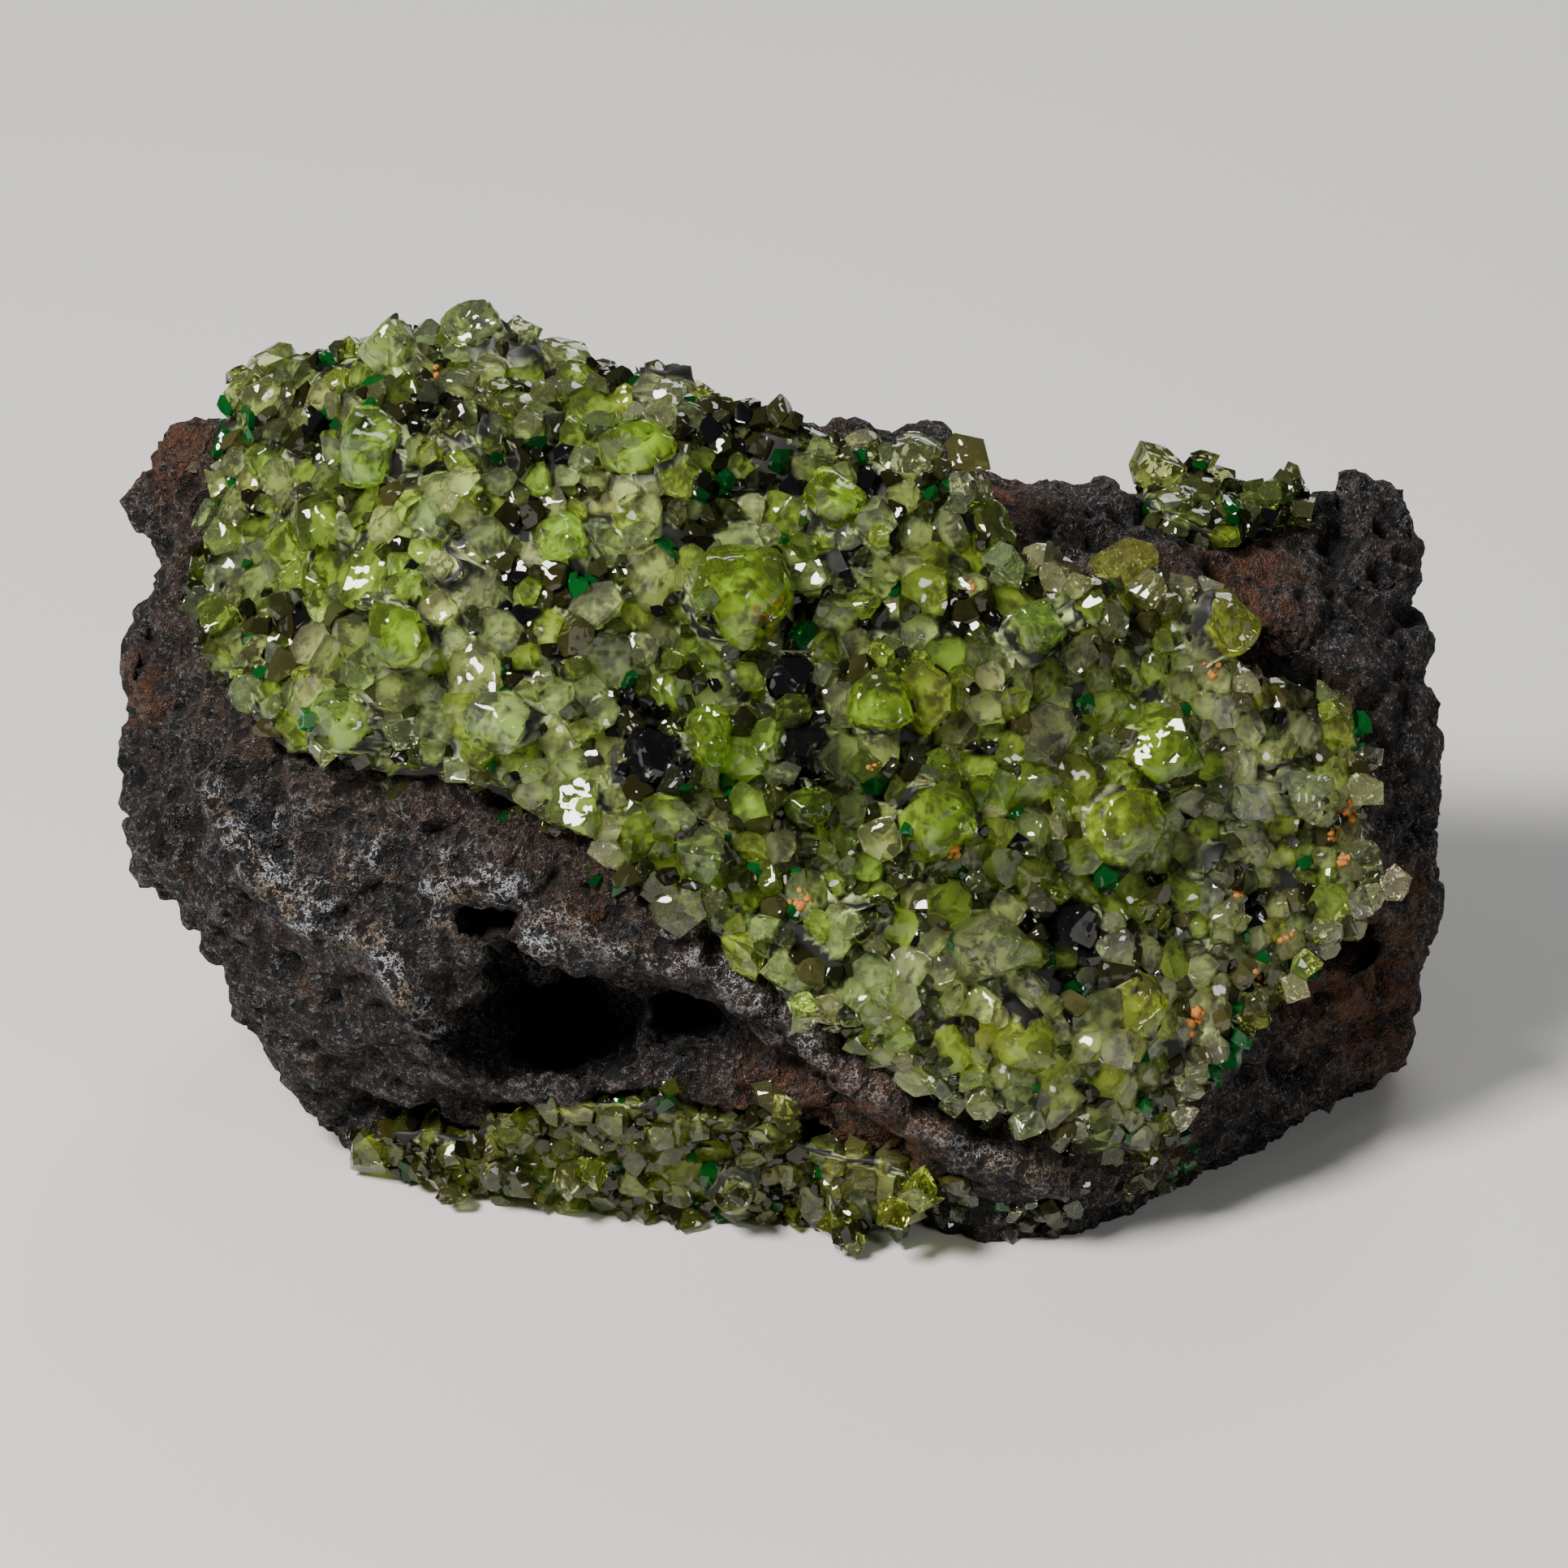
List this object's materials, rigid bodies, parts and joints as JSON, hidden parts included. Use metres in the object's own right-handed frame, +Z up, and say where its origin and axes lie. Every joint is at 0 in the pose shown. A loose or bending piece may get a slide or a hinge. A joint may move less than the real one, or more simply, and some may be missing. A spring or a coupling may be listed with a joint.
{
  "type": "peridot in basalt specimen",
  "caption": "Hand specimen of dark bubbly basalt carrying lumps of green granular peridot and black spinel crystals, resting on a flat broken face.",
  "frame": {"origin": "middle of the bounding box, on the surface that the stone rests on", "axes": "+Z up from the flat broken face, +X along the stone's length to the viewer's right, +Y away from the show face"},
  "size_m": [0.07, 0.0392, 0.0425],
  "materials": {
    "basalt": "matt, broken, dark grey-brown vesicular basalt with rusty hollows",
    "peridot": "glassy, see-through yellow-green crystals, grown together",
    "spinel": "glossy black crystal"
  },
  "bodies": {
    "root": {"basalt_matrix": "basalt", "peridot_main": "peridot", "peridot_lower": "peridot", "peridot_back": "peridot", "spinel_crystal_1": "spinel", "spinel_crystal_2": "spinel", "spinel_crystal_3": "spinel", "spinel_crystal_4": "spinel"}
  },
  "joints": []
}
